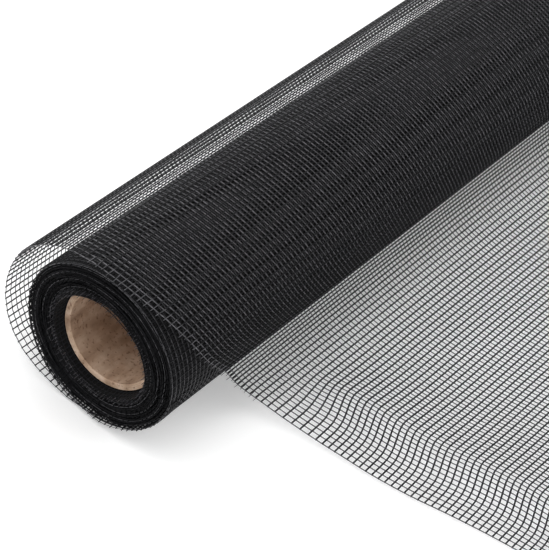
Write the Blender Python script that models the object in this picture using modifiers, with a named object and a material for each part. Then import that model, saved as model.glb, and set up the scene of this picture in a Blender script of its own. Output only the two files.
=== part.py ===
# Roll of woven netting on a card core, with its outermost turn loose and its end laid out on the floor.
# Metres, Z up. The core lies along Y with its near end at low Y, and the loose end runs out toward +X.
import math

import bmesh
import bpy
import numpy as np

MM = 0.001

# Core tube
CORE_BORE_D = 25.4 * MM
CORE_WALL = 1.7 * MM
CORE_RECESS = 6.0 * MM
CORE_STEPS = 64

# Wound part
NET_WIDTH = 600.0 * MM
CORE_GAP = 0.3 * MM
WOUND_R = 23.4 * MM
WOUND_STEPS = 96
WOUND_RINGS = 5
END_SHIFT = 1.0 * MM
END_LEAN = 3.0 * MM
END_LEAN_DIR = math.radians(70.0)
END_STEP = 0.45 * MM
WOUND_UNEVEN = 0.12 * MM

# Loose end
SHEET_T = 1.0 * MM
AXIS_Z = 24.4 * MM
WOUND_FLOOR = SHEET_T + 0.3 * MM
SHEET_ROWS = 22
LOOP_STEP = 6.0
LOOP_PITCH = 2.6
TAIL_PITCH = 3.4

# Loose turn: degrees wound on from the front, clear gap to the wound part, and near edge along Y, in mm
LOOP_TABLE = (
    (62.0, 0.35, 4.5),
    (90.0, 0.35, 4.0),
    (108.0, 0.7, 3.4),
    (121.0, 1.4, 2.6),
    (146.0, 3.0, 0.8),
    (170.0, 4.3, -0.5),
    (190.0, 5.3, -1.2),
    (207.0, 5.9, -2.0),
    (230.0, 5.8, -3.8),
    (250.0, 5.1, -4.8),
    (270.0, 4.0, -4.8),
    (290.0, 2.8, -2.2),
    (305.0, 2.0, 1.2),
    (317.0, 1.4, 4.6),
    (336.0, 0.9, 10.0),
    (346.0, 0.7, 14.0),
    (361.0, 0.6, 20.5),
    (368.0, 0.6, 24.2),
)

# Laid-out end: X, height of its middle and near edge along Y, in mm
TAIL_TABLE = (
    (24.7, 16.5, 28.2),
    (25.6, 11.8, 32.4),
    (27.6, 7.6, 36.6),
    (30.9, 4.4, 40.0),
    (35.6, 2.4, 42.0),
    (42.0, 1.3, 43.4),
    (51.0, 0.8, 44.9),
    (60.0, 0.6, 46.3),
    (70.0, 0.5, 48.6),
    (80.0, 0.5, 51.6),
    (90.0, 0.5, 54.3),
    (100.0, 0.5, 56.6),
    (110.0, 0.5, 58.6),
    (120.0, 0.5, 60.4),
    (132.0, 0.5, 62.4),
)

# Ripples of the laid-out end: middle X and Y, direction in degrees, half length, half width and height, in mm
RIPPLES = (
    (50.0, 64.0, 35.0, 24.0, 7.0, 2.6),
    (66.0, 59.0, 25.0, 20.0, 7.0, 1.5),
    (90.0, 71.0, 20.0, 22.0, 8.0, 2.4),
    (103.0, 92.0, 30.0, 26.0, 10.0, 1.3),
    (112.0, 240.0, 65.0, 90.0, 12.0, 1.4),
)
# Near edge strip that slides outward over the floor
EDGE_SLIDE = 4.2
EDGE_SLIDE_W = 16.0


def clear_scene():
    for item in list(bpy.data.objects):
        bpy.data.objects.remove(item, do_unlink=True)


def make_collection(name):
    group = bpy.data.collections.new(name)
    bpy.context.scene.collection.children.link(group)
    return group


def make_material(name, colour, roughness):
    material = bpy.data.materials.new(name)
    material.use_nodes = True
    shader = material.node_tree.nodes["Principled BSDF"]
    shader.inputs["Base Color"].default_value = (*colour, 1.0)
    shader.inputs["Roughness"].default_value = roughness
    return material


def add_object(group, name, mesh, material):
    item = bpy.data.objects.new(name, mesh)
    group.objects.link(item)
    item.data.materials.clear()
    item.data.materials.append(material)
    return item


# Closed outline of a tube's wall in the plane of X and Y, its outer side first
def ring_profile(name, inner, outer, start, end, rings):
    radii = [outer + (inner - outer) * i / rings for i in range(rings + 1)]
    points = [(r, start) for r in radii] + [(r, end) for r in reversed(radii)]
    mesh = bpy.data.meshes.new(name)
    edges = [(i, (i + 1) % len(points)) for i in range(len(points))]
    mesh.from_pydata([(x, y, 0.0) for x, y in points], edges, [])
    return mesh


def add_turned(group, name, profile, steps, material):
    item = add_object(group, name, profile, material)
    turn = item.modifiers.new("turn", "SCREW")
    turn.axis = "Y"
    turn.angle = math.tau
    turn.steps = steps
    turn.render_steps = steps
    turn.use_merge_vertices = True
    turn.merge_threshold = 0.00001
    turn.use_normal_calculate = True
    return item


def apply_modifiers(item):
    depsgraph = bpy.context.evaluated_depsgraph_get()
    shape = bpy.data.meshes.new_from_object(item.evaluated_get(depsgraph))
    item.modifiers.clear()
    item.data = shape
    return item


def face_outward(item):
    work = bmesh.new()
    work.from_mesh(item.data)
    bmesh.ops.recalc_face_normals(work, faces=work.faces)
    work.to_mesh(item.data)
    work.free()


def smooth_shading(item, degrees):
    item.data.shade_smooth()
    item.data.set_sharp_from_angle(angle=math.radians(degrees))


# Near end of the netting along Y, which leans and steps from turn to turn
def end_position(angle, radius):
    lean = END_SHIFT - END_LEAN * math.cos(angle - END_LEAN_DIR)
    share = (WOUND_R - radius) / (WOUND_R - CORE_BORE_D / 2)
    return lean + END_STEP * math.sin(9.0 * share + angle)


def build_core(group, material):
    outer = CORE_BORE_D / 2 + CORE_WALL
    profile = ring_profile("core_profile", CORE_BORE_D / 2, outer, CORE_RECESS, NET_WIDTH - CORE_RECESS, 1)
    core = apply_modifiers(add_turned(group, "core_tube", profile, CORE_STEPS, material))
    for vertex in core.data.vertices:
        vertex.co.z += AXIS_Z
    face_outward(core)
    smooth_shading(core, 35.0)
    return core


def build_wound(group, material):
    inner = CORE_BORE_D / 2 + CORE_WALL + CORE_GAP
    profile = ring_profile("wound_profile", inner, WOUND_R, 0.0, NET_WIDTH, WOUND_RINGS)
    wound = apply_modifiers(add_turned(group, "wound_netting", profile, WOUND_STEPS, material))
    for vertex in wound.data.vertices:
        x, y, z = vertex.co
        radius = math.hypot(x, z)
        angle = math.atan2(z, x)
        if y < NET_WIDTH / 2:
            y += end_position(angle, radius)
        share = (radius - inner) / (WOUND_R - inner)
        grown = radius + WOUND_UNEVEN * share * math.sin(3.0 * angle + 0.6)
        x = grown * math.cos(angle)
        z = AXIS_Z + grown * math.sin(angle)
        vertex.co = (x, y, max(z, WOUND_FLOOR))
    face_outward(wound)
    smooth_shading(wound, 35.0)
    return wound


# Smooth values between the rows of a table, along a Catmull-Rom curve
def curve_through(points, values):
    rows = np.array(points, dtype=float)
    before = np.vstack([2 * rows[0] - rows[1], rows, 2 * rows[-1] - rows[-2]])
    out = []
    for value in values:
        index = min(int(value), len(rows) - 2)
        t = value - index
        a, b, c, d = before[index:index + 4]
        out.append(0.5 * (2 * b + (c - a) * t + (2 * a - 5 * b + 4 * c - d) * t ** 2
                          + (3 * b - a - 3 * c + d) * t ** 3))
    return np.array(out)


# Middle line of the loose end across the roll, as rows of X, Z and near edge, in mm
def sheet_path():
    rows = []
    turned = [row[0] for row in LOOP_TABLE]
    for degrees in np.arange(turned[0], turned[-1] + 0.1, LOOP_STEP):
        place = float(np.interp(degrees, turned, range(len(turned))))
        _, gap, edge = curve_through(LOOP_TABLE, [place])[0]
        radius = WOUND_R / MM + gap + SHEET_T / MM / 2
        angle = -math.radians(degrees)
        rows.append((radius * math.cos(angle), AXIS_Z / MM + radius * math.sin(angle), edge))
    joined = rows + list(TAIL_TABLE)
    places = np.linspace(0.0, len(joined) - 1.0, 40 * len(joined))
    fine = curve_through(joined, places)
    steps = np.hypot(np.diff(fine[:, 0]), np.diff(fine[:, 1]))
    run = np.concatenate([[0.0], np.cumsum(steps)])
    leaves = float(np.interp(len(rows) + 2, places, run))
    loop = np.linspace(0.0, leaves, int(leaves / LOOP_PITCH) + 1)
    tail = np.linspace(leaves, run[-1], int((run[-1] - leaves) / TAIL_PITCH) + 1)
    stations = np.concatenate([loop, tail[1:]])
    return np.stack([np.interp(stations, run, fine[:, i]) for i in range(3)], axis=1)


def ripple_height(x, y):
    height = 0.0
    for mid_x, mid_y, degrees, length, width, rise in RIPPLES:
        turn = math.radians(degrees)
        along = (x - mid_x) * math.cos(turn) + (y - mid_y) * math.sin(turn)
        across = (y - mid_y) * math.cos(turn) - (x - mid_x) * math.sin(turn)
        height += rise * math.exp(-(along / length) ** 2 - (across / width) ** 2)
    return height


def smooth_step(value):
    t = min(max(value, 0.0), 1.0)
    return t * t * (3.0 - 2.0 * t)


# One point of the loose end's middle surface, in mm; share runs from the near to the far edge
def sheet_point(x, z, edge, share):
    width = NET_WIDTH / MM
    y = edge + (width - edge) * share
    on_floor = smooth_step((x - 30.0) / 14.0) * (1.0 if z < 8.0 else 0.0)
    strip = 1.0 - smooth_step((y - edge - 6.0) / EDGE_SLIDE_W)
    x += EDGE_SLIDE * strip * on_floor
    z += ripple_height(x, y) * on_floor
    return x, y, max(z, SHEET_T / MM / 2)


def build_loose_end(group, material):
    path = sheet_path()
    shares = [(i / SHEET_ROWS) ** 1.9 for i in range(SHEET_ROWS + 1)]
    work = bmesh.new()
    bmesh.ops.create_grid(work, x_segments=len(path) - 1, y_segments=SHEET_ROWS, size=0.5)
    for vertex in work.verts:
        column = round((vertex.co.x + 0.5) * (len(path) - 1))
        row = round((vertex.co.y + 0.5) * SHEET_ROWS)
        x, y, z = sheet_point(*path[column], shares[row])
        vertex.co = (x * MM, y * MM, z * MM)
    mesh = bpy.data.meshes.new("loose_end")
    work.to_mesh(mesh)
    work.free()
    sheet = add_object(group, "loose_end", mesh, material)
    shell = sheet.modifiers.new("cloth", "SOLIDIFY")
    shell.thickness = SHEET_T
    shell.offset = 0.0
    shell.use_even_offset = True
    apply_modifiers(sheet)
    for vertex in sheet.data.vertices:
        vertex.co.z = max(vertex.co.z, 0.0)
    face_outward(sheet)
    smooth_shading(sheet, 35.0)
    return sheet


def centre_on_floor(items):
    points = [vertex.co for item in items for vertex in item.data.vertices]
    shift_x = -(min(p.x for p in points) + max(p.x for p in points)) / 2
    shift_y = -(min(p.y for p in points) + max(p.y for p in points)) / 2
    for item in items:
        for vertex in item.data.vertices:
            vertex.co.x += shift_x
            vertex.co.y += shift_y
        item.data.update()


def main():
    clear_scene()
    group = make_collection("netting_roll")
    card = make_material("core_card", (0.47, 0.33, 0.21), 0.9)
    net = make_material("black_net", (0.015, 0.015, 0.017), 0.6)
    items = [build_core(group, card), build_wound(group, net), build_loose_end(group, net)]
    centre_on_floor(items)


main()
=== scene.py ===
# Roll of black woven netting on a card core, with its loose turn and laid-out end made of real threads.
import math
import bpy
import numpy as np
from mathutils import Matrix, Vector


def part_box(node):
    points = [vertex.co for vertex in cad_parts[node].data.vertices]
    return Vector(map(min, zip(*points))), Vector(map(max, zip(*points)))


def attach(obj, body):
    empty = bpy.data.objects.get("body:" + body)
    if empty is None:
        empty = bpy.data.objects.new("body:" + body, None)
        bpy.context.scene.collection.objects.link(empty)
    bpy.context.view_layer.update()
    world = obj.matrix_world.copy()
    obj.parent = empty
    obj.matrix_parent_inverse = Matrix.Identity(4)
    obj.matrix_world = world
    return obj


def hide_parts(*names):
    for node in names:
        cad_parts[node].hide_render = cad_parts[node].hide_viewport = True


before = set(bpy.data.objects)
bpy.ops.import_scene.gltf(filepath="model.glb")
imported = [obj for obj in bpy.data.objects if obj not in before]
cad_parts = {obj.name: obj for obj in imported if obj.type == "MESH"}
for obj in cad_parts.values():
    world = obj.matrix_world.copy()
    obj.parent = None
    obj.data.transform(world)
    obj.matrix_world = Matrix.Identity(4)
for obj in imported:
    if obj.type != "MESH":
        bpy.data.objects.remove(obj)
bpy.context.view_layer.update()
coreLow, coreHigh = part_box("core_tube")
mm = 0.001
axisX = (coreLow.x + coreHigh.x) / 2  # middle of the core, in metres
axisZ = (coreLow.z + coreHigh.z) / 2
nearY = coreLow.y - 6 * mm  # where the netting's near end lies on average
dice = np.random.default_rng(11)
print("frame loaded")


# Materials, each with its own dictionary beside it
def newMaterial(name):
    material = bpy.data.materials.new(name)
    material.use_nodes = True
    tree = material.node_tree
    return material, tree, tree.nodes["Principled BSDF"]


def mathNode(tree, operation, first, second=None):
    node = tree.nodes.new("ShaderNodeMath")
    node.operation = operation
    for place, value in enumerate((first, second)):
        if isinstance(value, (int, float)):
            node.inputs[place].default_value = value
        elif value is not None:
            tree.links.new(value, node.inputs[place])
    return node.outputs[0]


def rampNode(tree, factor, stops):
    node = tree.nodes.new("ShaderNodeValToRGB")
    ramp = node.color_ramp
    ramp.elements.remove(ramp.elements[-1])
    ramp.elements[0].position = stops[0][0]
    ramp.elements[0].color = (*stops[0][1], 1)
    for position, colour in stops[1:]:
        ramp.elements.new(position).color = (*colour, 1)
    tree.links.new(factor, node.inputs[0])
    return node.outputs[0]


def noiseNode(tree, coordinates, scale, detail=2.0):
    node = tree.nodes.new("ShaderNodeTexNoise")
    node.inputs["Scale"].default_value = scale
    node.inputs["Detail"].default_value = detail
    tree.links.new(coordinates, node.inputs["Vector"])
    return node.outputs[0]


def objectPlace(tree):
    coordinates = tree.nodes.new("ShaderNodeTexCoord")
    return coordinates.outputs["Object"]


# The thick wefts are black and dull, the thin warps a little paler and glossier; the warps' paler colour is a painted
# highlight for the light they catch where they cross over the wefts
threadLook = {
    "weft": {"dark": (0.003, 0.003, 0.004), "light": (0.010, 0.010, 0.012), "roughness": (0.55, 0.75), "shine": 0.18},
    "warp": {"dark": (0.030, 0.030, 0.034), "light": (0.135, 0.132, 0.145), "roughness": (0.30, 0.50), "shine": 0.5},
    # A darker copy of the warp finish: painted shade on the outer turn's warps where the loose layer lies over them
    "shadedWarp": {"dark": (0.012, 0.012, 0.014), "light": (0.060, 0.059, 0.065), "roughness": (0.40, 0.60), "shine": 0.3},
    "bump": 0.25,
}


def threadMaterial(kind):
    look = threadLook[kind]
    material, tree, shader = newMaterial(kind + "Thread")
    place = objectPlace(tree)
    patches = noiseNode(tree, place, 700.0)
    colour = rampNode(tree, patches, [(0.35, look["dark"]), (0.72, look["light"])])
    tree.links.new(colour, shader.inputs["Base Color"])
    low, high = look["roughness"]
    gloss = mathNode(tree, "ADD", mathNode(tree, "MULTIPLY", noiseNode(tree, place, 2600.0), high - low), low)
    tree.links.new(gloss, shader.inputs["Roughness"])
    shader.inputs["Specular IOR Level"].default_value = look["shine"]
    bump = tree.nodes.new("ShaderNodeBump")
    bump.inputs["Strength"].default_value = threadLook["bump"]
    bump.inputs["Distance"].default_value = 0.00004
    tree.links.new(noiseNode(tree, place, 5200.0), bump.inputs["Height"])
    tree.links.new(bump.outputs[0], shader.inputs["Normal"])
    return material


# The gap colour, darker than the threads' own black, is painted shade deep in the wound layers
layerLook = {"gap": (0.001, 0.001, 0.001), "thread": (0.010, 0.010, 0.012), "warpPitch": 1.64, "weftPitch": 1.85}


# The turns under the outer one show as more threads, row after row, with painted shade in the gaps between the rows
def layerMaterial():
    material, tree, shader = newMaterial("woundLayers")
    place = objectPlace(tree)
    split = tree.nodes.new("ShaderNodeSeparateXYZ")
    tree.links.new(place, split.inputs[0])
    across = mathNode(tree, "SUBTRACT", split.outputs[0], axisX)
    upward = mathNode(tree, "SUBTRACT", split.outputs[2], axisZ)
    turn = mathNode(tree, "ARCTAN2", upward, across)
    wander = mathNode(tree, "MULTIPLY", noiseNode(tree, place, 60.0), 0.9)
    rows = []
    for source, pitch in ((mathNode(tree, "MULTIPLY", turn, 0.0231), "weftPitch"), (split.outputs[1], "warpPitch")):
        count = mathNode(tree, "MULTIPLY", source, math.tau / (layerLook[pitch] * mm))
        wave = mathNode(tree, "SINE", mathNode(tree, "ADD", count, wander))
        rows.append(mathNode(tree, "MULTIPLY", mathNode(tree, "ADD", wave, 1.0), 0.5))
    weave = mathNode(tree, "POWER", mathNode(tree, "MAXIMUM", rows[0], rows[1]), 3.0)
    colour = rampNode(tree, weave, [(0.25, layerLook["gap"]), (0.95, layerLook["thread"])])
    tree.links.new(colour, shader.inputs["Base Color"])
    shader.inputs["Roughness"].default_value = 0.7
    shader.inputs["Specular IOR Level"].default_value = 0.15
    bump = tree.nodes.new("ShaderNodeBump")
    bump.inputs["Strength"].default_value = 0.9
    bump.inputs["Distance"].default_value = 0.0004
    tree.links.new(weave, bump.inputs["Height"])
    tree.links.new(bump.outputs[0], shader.inputs["Normal"])
    return material


cardLook = {
    "fibre": [(0.25, (0.27, 0.165, 0.105)), (0.48, (0.50, 0.345, 0.240)), (0.70, (0.68, 0.52, 0.40))],
    "specks": [(0.0, (1, 1, 1)), (0.60, (1, 1, 1)), (0.72, (0.45, 0.36, 0.30))],
    "roughness": 0.88,
}


def cardMaterial():
    material, tree, shader = newMaterial("brownCard")
    place = objectPlace(tree)
    stretch = tree.nodes.new("ShaderNodeMapping")
    stretch.inputs["Scale"].default_value = (1.0, 0.35, 1.0)
    tree.links.new(place, stretch.inputs["Vector"])
    fibres = noiseNode(tree, stretch.outputs[0], 260.0, 6.0)
    base = rampNode(tree, fibres, cardLook["fibre"])
    specks = rampNode(tree, noiseNode(tree, place, 1100.0, 1.0), cardLook["specks"])
    mix = tree.nodes.new("ShaderNodeMix")
    mix.data_type = "RGBA"
    mix.blend_type = "MULTIPLY"
    mix.inputs[0].default_value = 0.8
    tree.links.new(base, mix.inputs[6])
    tree.links.new(specks, mix.inputs[7])
    # Paper layers show as rings on the cut end
    split = tree.nodes.new("ShaderNodeSeparateXYZ")
    tree.links.new(place, split.inputs[0])
    across = mathNode(tree, "SUBTRACT", split.outputs[0], axisX)
    upward = mathNode(tree, "SUBTRACT", split.outputs[2], axisZ)
    radius = mathNode(tree, "SQRT", mathNode(tree, "ADD", mathNode(tree, "MULTIPLY", across, across),
                                             mathNode(tree, "MULTIPLY", upward, upward)))
    ragged = mathNode(tree, "ADD", mathNode(tree, "MULTIPLY", radius, math.tau / 0.00042),
                      mathNode(tree, "MULTIPLY", noiseNode(tree, place, 420.0), 5.0))
    layers = mathNode(tree, "SINE", ragged)
    tint = rampNode(tree, mathNode(tree, "ADD", mathNode(tree, "MULTIPLY", layers, 0.5), 0.5),
                    [(0.0, (0.74, 0.70, 0.66)), (0.6, (1.0, 1.0, 1.0))])
    ringed = tree.nodes.new("ShaderNodeMix")
    ringed.data_type = "RGBA"
    ringed.blend_type = "MULTIPLY"
    ringed.inputs[0].default_value = 0.55
    tree.links.new(mix.outputs[2], ringed.inputs[6])
    tree.links.new(tint, ringed.inputs[7])
    tree.links.new(ringed.outputs[2], shader.inputs["Base Color"])
    shader.inputs["Roughness"].default_value = cardLook["roughness"]
    bump = tree.nodes.new("ShaderNodeBump")
    bump.inputs["Strength"].default_value = 0.6
    bump.inputs["Distance"].default_value = 0.0003
    tree.links.new(mathNode(tree, "ADD", fibres, mathNode(tree, "MULTIPLY", layers, 0.15)), bump.inputs["Height"])
    tree.links.new(bump.outputs[0], shader.inputs["Normal"])
    return material


threadFinishes = [threadMaterial("weft"), threadMaterial("warp"), threadMaterial("shadedWarp")]
layerFinish = layerMaterial()
cardFinish = cardMaterial()
print("materials ready")


# Paths of the loose end, in mm from the core's middle line and the netting's near end
loosePath = {
    "woundRadius": 23.4,
    "axisHeight": 24.4,
    "width": 600.0,
    "turn": [  # degrees wound on from the front, clear gap, near edge
        (62, 0.35, 4.5), (90, 0.35, 4.0), (108, 0.7, 3.4), (121, 1.4, 2.6), (146, 3.0, 0.8), (170, 4.3, -0.5),
        (190, 5.3, -1.2), (207, 5.9, -2.0), (230, 5.8, -3.8), (250, 5.1, -4.8), (270, 4.0, -4.8),
        (290, 2.8, -2.2), (305, 2.0, 1.2), (317, 1.4, 4.6), (336, 0.9, 10.0), (346, 0.7, 14.0),
        (361, 0.6, 20.5), (368, 0.6, 24.2),
    ],
    "tail": [  # X, height, near edge
        (24.7, 16.5, 28.2), (25.6, 11.8, 32.4), (27.6, 7.6, 36.6), (30.9, 4.4, 40.0), (35.6, 2.4, 42.0),
        (42, 1.3, 43.4), (51, 0.8, 44.9), (60, 0.6, 46.3), (70, 0.5, 48.6), (80, 0.5, 51.6), (90, 0.5, 54.3),
        (100, 0.5, 56.6), (110, 0.5, 58.6), (120, 0.5, 60.4), (132, 0.5, 62.4),
    ],
    "ripples": [  # middle X and Y, direction, half length, half width, height
        (50, 64, 35, 26, 12, 2.0), (66, 59, 25, 22, 11, 1.2), (90, 71, 20, 24, 12, 1.9), (103, 92, 30, 28, 14, 1.2),
        (112, 240, 65, 90, 12, 1.4),
    ],
    "edgeSlide": 4.2,
    "edgeSlideWidth": 16.0,
}
looseNet = {
    "warps": 366, "nearWarps": 110, "weftPitch": 1.85, "warpThick": (0.28, 0.37), "weftThick": (0.41, 0.58),
    "edgeWarps": [0, 1.95, 3.8, 5.5, 7.2],  # the last warps at the near edge stand wider apart, in mm
    "stub": 0.12, "fray": (0.6, 2.1), "frayThick": 0.20,
}


def smoothRows(rows, places):
    rows = np.array(rows, float)
    padded = np.vstack([2 * rows[0] - rows[1], rows, 2 * rows[-1] - rows[-2]])
    index = np.minimum(places.astype(int), len(rows) - 2)
    t = (places - index)[:, None]
    a, b, c, d = (padded[index + k] for k in range(4))
    return 0.5 * (2 * b + (c - a) * t + (2 * a - 5 * b + 4 * c - d) * t ** 2 + (3 * b - a - 3 * c + d) * t ** 3)


def looseMiddleLine():
    turned = [row[0] for row in loosePath["turn"]]
    degrees = np.arange(turned[0], turned[-1] + 0.1, 6.0)
    rows = smoothRows(loosePath["turn"], np.interp(degrees, turned, range(len(turned))))
    radius = loosePath["woundRadius"] + rows[:, 1] + 0.5
    angle = -np.radians(degrees)
    turn = np.stack([radius * np.cos(angle), loosePath["axisHeight"] + radius * np.sin(angle), rows[:, 2]], 1)
    joined = np.vstack([turn, loosePath["tail"]])
    fine = smoothRows(joined, np.linspace(0, len(joined) - 1, 40 * len(joined)))
    run = np.concatenate([[0], np.cumsum(np.hypot(np.diff(fine[:, 0]), np.diff(fine[:, 1])))])
    return run, fine


run, fine = looseMiddleLine()


def smoothStep(value):
    t = np.clip(value, 0, 1)
    return t * t * (3 - 2 * t)


# Points of the loose end in metres, from run along the cloth and share of its width
def loosePoints(along, share):
    x, z, edge = (np.interp(along, run, fine[:, k]) for k in range(3))
    y = edge + (loosePath["width"] - edge) * share
    onFloor = smoothStep((x - 30) / 14) * (z < 8)
    strip = 1 - smoothStep((y - edge - 6) / loosePath["edgeSlideWidth"])
    x = x + loosePath["edgeSlide"] * strip * onFloor
    for middleX, middleY, degrees, length, width, rise in loosePath["ripples"]:
        turn = math.radians(degrees)
        forth = (x - middleX) * math.cos(turn) + (y - middleY) * math.sin(turn)
        aside = (y - middleY) * math.cos(turn) - (x - middleX) * math.sin(turn)
        z = z + rise * np.exp(-(forth / length) ** 2 - (aside / width) ** 2) * onFloor
    return np.stack([x * mm + axisX, y * mm + nearY, np.maximum(z, 0.45) * mm], -1)


# Threads of one piece as open tubes; a bundle is (threads x points x 3 array, thickness in mm, finish number)
def threadMesh(name, bundles, sides=3):
    allPoints, allFaces, allFinishes, used = [], [], [], 0
    for lines, thick, finish in bundles:
        count, length, _ = lines.shape
        forward = np.gradient(lines, axis=1)
        forward /= np.linalg.norm(forward, axis=2, keepdims=True) + 1e-12
        helper = np.zeros_like(forward)
        leaning = np.abs(forward[..., 1]) > 0.8
        helper[..., 0] = leaning
        helper[..., 1] = ~leaning
        side = np.cross(forward, helper)
        side /= np.linalg.norm(side, axis=2, keepdims=True) + 1e-12
        up = np.cross(side, forward)
        radius = np.broadcast_to(np.asarray(thick, float), lines.shape[:2])[..., None] * mm / 2
        rings = []
        for k in range(sides):
            turn = math.tau * k / sides + 0.4
            rings.append(lines + radius * (side * math.cos(turn) + up * math.sin(turn)))
        points = np.stack(rings, axis=2).reshape(-1, 3)
        thread, station, corner = np.meshgrid(np.arange(count), np.arange(length - 1), np.arange(sides), indexing="ij")
        first = (thread * length + station) * sides + corner
        second = (thread * length + station) * sides + (corner + 1) % sides
        faces = np.stack([first, second, second + sides, first + sides], -1).reshape(-1, 4)
        allPoints.append(points)
        allFaces.append(faces + used)
        allFinishes.append(np.full(len(faces), finish))
        used += len(points)
    points, faces = np.concatenate(allPoints), np.concatenate(allFaces)
    mesh = bpy.data.meshes.new(name)
    mesh.vertices.add(len(points))
    mesh.vertices.foreach_set("co", points.ravel())
    mesh.loops.add(faces.size)
    mesh.loops.foreach_set("vertex_index", faces.ravel())
    mesh.polygons.add(len(faces))
    mesh.polygons.foreach_set("loop_start", np.arange(0, faces.size, 4))
    mesh.polygons.foreach_set("use_smooth", np.ones(len(faces), bool))
    for finish in threadFinishes:
        mesh.materials.append(finish)
    mesh.polygons.foreach_set("material_index", np.concatenate(allFinishes))
    mesh.update(calc_edges=True)
    piece = bpy.data.objects.new(name, mesh)
    bpy.context.scene.collection.objects.link(piece)
    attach(piece, "root")
    print(name, "has", 2 * len(faces), "triangles")
    return piece


# Threads look finer where they are stretched round the roll than where they lie slack, so each kind has two sizes
def thickAt(along, sizes):
    return np.interp(along, (run[-1] - 125, run[-1] - 95), sizes)


# One weave: warps close together where the cloth ripples, wefts across them with frayed stubs at the near edge
def buildLooseNet():
    length = run[-1]
    edgeWarps = np.array(looseNet["edgeWarps"])
    rest = np.linspace(edgeWarps[-1] + 1.64, loosePath["width"], looseNet["warps"] - len(edgeWarps))
    shares = np.concatenate([edgeWarps, rest]) / loosePath["width"]
    nearWarps = looseNet["nearWarps"]
    bundles = []
    for chosen, loopStep, tailStations in ((shares[:nearWarps], 5.5, 46), (shares[nearWarps:], 7.0, 22)):
        stations = np.concatenate([np.arange(0, length - 112, loopStep), np.linspace(length - 112, length, tailStations)])
        along, share = np.meshgrid(stations, chosen)
        # The warps take the paler warp finish, whose paleness is a painted highlight
        bundles.append((loosePoints(along, share), thickAt(along, looseNet["warpThick"]), 1))
    rows = np.arange(0.3, length, looseNet["weftPitch"])
    crossing = np.concatenate([np.linspace(0, 0.16, 46), np.linspace(0.175, 1, 32)])
    along, share = np.meshgrid(rows, crossing, indexing="ij")
    lines = loosePoints(along, share)
    stubs = looseNet["stub"] * mm * (0.35 + dice.random((len(rows), 2)))
    lines[:, 0, 1] -= stubs[:, 0]
    lines[:, -1, 1] += stubs[:, 1]
    bundles.append((lines, thickAt(along, looseNet["weftThick"]), 0))
    # Pale frayed ends where the edge lies over the front of the roll
    onFront = (lines[:, 0, 2] > 5 * mm) & (lines[:, 0, 0] > axisX - 8 * mm)
    starts = lines[onFront, 1]
    low, high = looseNet["fray"]
    ends = lines[onFront, 0].copy()
    ends[:, 1] -= (low + (high - low) * dice.random(len(ends))) * mm
    ends += dice.normal(0, 0.12, ends.shape) * mm
    outward = np.stack([ends[:, 0] - axisX, np.zeros(len(ends)), ends[:, 2] - axisZ], 1)
    outward *= 0.22 * mm / np.linalg.norm(outward, axis=1, keepdims=True)
    bundles.append((np.stack([starts + outward, ends + outward], 1), looseNet["frayThick"], 1))
    net = threadMesh("looseNet", bundles)
    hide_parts("loose_end")
    return length


looseLength = buildLooseNet()
print("loose end woven,", round(float(looseLength)), "mm long")


# The wound part: a dark body of the inner turns, the outer turn's threads, and every turn's cut end
wound = {
    "radius": 23.4, "inner": 14.75, "turns": 23, "warps": 366, "warpThick": 0.27, "weftThick": 0.44,
    "weftPitch": 1.85, "bodyInset": 0.5, "endDepth": (0.1, 2.4), "lean": 3.0, "leanTowards": 70.0, "floor": 1.35,
}


def nearEnd(angle, radius):
    share = (wound["radius"] - radius) / (wound["radius"] - 12.7)
    return 1.0 - wound["lean"] * np.cos(angle - math.radians(wound["leanTowards"])) + 0.45 * np.sin(9 * share + angle)


def woundPoints(angle, radius, y):
    grown = radius + 0.12 * (radius - 14.7) / 8.7 * np.sin(3 * angle + 0.6)
    z = np.maximum(loosePath["axisHeight"] + grown * np.sin(angle), wound["floor"])
    return np.stack([grown * np.cos(angle) * mm + axisX, y * mm + nearY, z * mm], -1)


def buildWoundBody():
    steps = 160
    angles = np.linspace(0, math.tau, steps, endpoint=False)
    outer = wound["radius"] - wound["bodyInset"]
    radii = np.linspace(wound["inner"] + 0.1, outer, 8)
    rings = []
    depths = np.interp(radii, (15.5, 17.5), wound["endDepth"])
    for radius, depth in zip(radii, depths):
        ragged = 0.25 * np.sin(5 * angles + 3 * radius)
        rings.append(woundPoints(angles, radius, nearEnd(angles, radius) + depth + ragged))
    for y in np.linspace(12, 588, 30):
        rings.append(woundPoints(angles, outer, np.full(steps, y)))
    for radius, depth in zip(radii[::-1], depths[::-1]):
        rings.append(woundPoints(angles, radius, np.full(steps, 600.0 - depth)))
    points = np.concatenate(rings)
    total = len(rings)
    faces = []
    for ring in range(total):
        following = (ring + 1) % total
        for k in range(steps):
            nextK = (k + 1) % steps
            faces.append((ring * steps + k, ring * steps + nextK, following * steps + nextK, following * steps + k))
    mesh = bpy.data.meshes.new("woundBody")
    mesh.from_pydata(points.tolist(), [], faces)
    mesh.shade_smooth()
    mesh.materials.append(layerFinish)
    piece = bpy.data.objects.new("woundBody", mesh)
    bpy.context.scene.collection.objects.link(piece)
    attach(piece, "root")
    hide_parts("wound_netting")
    return piece


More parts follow.
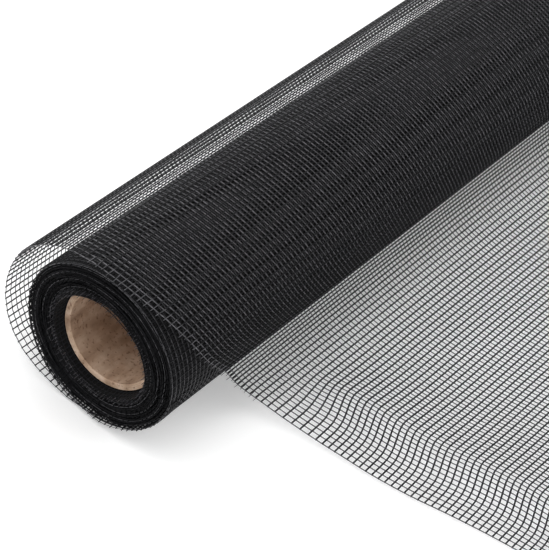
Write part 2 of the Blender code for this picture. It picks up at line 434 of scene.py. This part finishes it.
def buildOuterTurn():
    angles = np.linspace(0, math.tau, 73)
    places = np.linspace(0, 1, wound["warps"])
    angle, place = np.meshgrid(angles, places)
    start = nearEnd(angle, wound["radius"])
    y = start + (600.0 - start) * place
    wobble = 0.12 * np.sin(7 * angle + 40 * place)
    warps = woundPoints(angle, wound["radius"] - 0.1 + wobble * 0.6, y)
    rows = np.arange(0, math.tau * wound["radius"], wound["weftPitch"]) / wound["radius"]
    angle, place = np.meshgrid(rows, np.linspace(0, 1, 26), indexing="ij")
    start = nearEnd(angle, wound["radius"])
    y = start + (600.0 - start) * place
    y[:, 0] -= 0.05 + 0.15 * dice.random(len(rows))
    y[:, -1] += 0.3 + 0.5 * dice.random(len(rows))
    wefts = woundPoints(angle, wound["radius"] - 0.1, y)
    # The outer turn's warps take the darker warp copy, which is painted shade under the loose layer
    threadMesh("outerTurn", [(warps, wound["warpThick"], 2), (wefts, wound["weftThick"], 0)])


# Each turn's end stands out of the body as its own ring of warps and weft ends
turnEnds = {"paleTurns": (1, 4, 5, 11, 16, 20, 22), "paleWithin": 16.2, "warpThick": 0.30, "weftThick": 0.32,
            "stub": (0.05, 0.25), "paleStub": (0.5, 1.5)}


def buildTurnEnds(side, ringsPerTurn, depth):
    darkWarps, paleWarps, darkWefts, paleWefts = [], [], [], []
    pitch = (wound["radius"] - wound["inner"]) / wound["turns"]
    for turn in range(wound["turns"]):
        base = wound["inner"] + 0.1 + pitch * turn
        shift = dice.normal(0, 0.3)
        sway = dice.random() * math.tau
        angles = np.linspace(0, math.tau, 73)
        radius = base + pitch * angles / math.tau + 0.10 * np.sin(4 * angles + sway)
        uneven = shift + 0.3 * np.sin(2 * angles + sway) + 0.12 * np.sin(7 * angles + 2 * sway)
        for ring in range(ringsPerTurn):
            if side < 0:
                y = nearEnd(angles, radius) + uneven + 0.15 + ring * 0.95
            else:
                y = 600.0 + uneven * 0.5 - 0.3 - ring * 1.2
            pale = ring == 0 and turn in turnEnds["paleTurns"]
            (paleWarps if pale else darkWarps).append(woundPoints(angles, radius, y))
        rows = np.arange(0, math.tau * base, wound["weftPitch"]) / base
        rows = rows + dice.random() * 0.1
        radiusAt = np.interp(rows % math.tau, angles, radius)
        unevenAt = np.interp(rows % math.tau, angles, uneven)
        frayed = base < turnEnds["paleWithin"]
        low, high = turnEnds["paleStub" if frayed and side < 0 else "stub"]
        stub = low + (high - low) * dice.random(len(rows))
        if side < 0:
            outEnd = nearEnd(rows, radiusAt) + unevenAt - stub
            inEnd = outEnd + depth
        else:
            outEnd = 600.0 + unevenAt * 0.5 + stub
            inEnd = outEnd - depth
        bend = 0.08 * dice.normal(size=len(rows))
        ends = np.stack([woundPoints(rows, radiusAt + bend, outEnd), woundPoints(rows, radiusAt, inEnd)], 1)
        (paleWefts if frayed else darkWefts).append(ends)
    name = "near" if side < 0 else "far"
    threadMesh(name + "EndTurns", [
        (np.stack(darkWarps), turnEnds["warpThick"], 0), (np.stack(paleWarps), 0.16, 1),
        (np.concatenate(darkWefts), turnEnds["weftThick"], 0), (np.concatenate(paleWefts), 0.2, 1),
    ])


woundBody = buildWoundBody()
buildOuterTurn()
buildTurnEnds(-1, 5, 5.0)
buildTurnEnds(1, 3, 4.0)
print("wound part done")

# The card core keeps its own solid and gets its finish
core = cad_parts["core_tube"]
core.data.materials.clear()
core.data.materials.append(cardFinish)
print("core finished")


# Floor, light and camera
def buildFloor():
    bpy.ops.mesh.primitive_plane_add(size=40.0, location=(0, 0, -0.0004))
    floor = bpy.context.object
    floor.name = "paleFloor"
    material, tree, shader = newMaterial("paleFloor")
    shader.inputs["Base Color"].default_value = (0.93, 0.93, 0.93, 1)
    shader.inputs["Roughness"].default_value = 0.9
    shader.inputs["Emission Color"].default_value = (1, 1, 1, 1)
    shader.inputs["Emission Strength"].default_value = 0.22
    floor.data.materials.append(material)


studio = {"world": 0.85, "lamps": [((-0.5, -0.9, 1.3), 1.2, 9.0), ((0.9, 0.5, 1.4), 1.4, 8.0), ((-0.9, 0.8, 0.9), 0.9, 4.0)]}


def buildLight():
    world = bpy.data.worlds.new("paleRoom")
    bpy.context.scene.world = world
    world.use_nodes = True
    background = world.node_tree.nodes["Background"]
    background.inputs[0].default_value = (1, 1, 1, 1)
    background.inputs[1].default_value = studio["world"]
    for number, (place, size, power) in enumerate(studio["lamps"]):
        lamp = bpy.data.lights.new("softBox" + str(number), "AREA")
        lamp.size = size
        lamp.energy = power
        holder = bpy.data.objects.new("softBox" + str(number), lamp)
        holder.location = place
        holder.rotation_mode = "QUATERNION"
        holder.rotation_quaternion = (-Vector(place)).to_track_quat("-Z", "Y")
        bpy.context.scene.collection.objects.link(holder)


cameraSet = {
    "place": (0.14305, -0.71136, 0.45343),
    "right": (0.77489, 0.56225, 0.28883),
    "up": (-0.56842, 0.41994, 0.70749),
    "ahead": (-0.27649, 0.71241, -0.64500),
    "focalPixels": 2566.3,
}


def buildCamera():
    lens = bpy.data.cameras.new("photoCamera")
    lens.sensor_fit = "HORIZONTAL"
    lens.sensor_width = 36
    lens.lens = cameraSet["focalPixels"] * 36 / 549
    lens.clip_start = 0.01
    lens.clip_end = 20
    holder = bpy.data.objects.new("photoCamera", lens)
    right, up, ahead = (Vector(cameraSet[key]) for key in ("right", "up", "ahead"))
    turn = Matrix((right, up, -ahead)).transposed()
    holder.matrix_world = Matrix.Translation(cameraSet["place"]) @ turn.to_4x4()
    bpy.context.scene.collection.objects.link(holder)
    bpy.context.scene.camera = holder
    bpy.context.scene.view_settings.view_transform = "Standard"


buildFloor()
buildLight()
buildCamera()
print("studio ready")
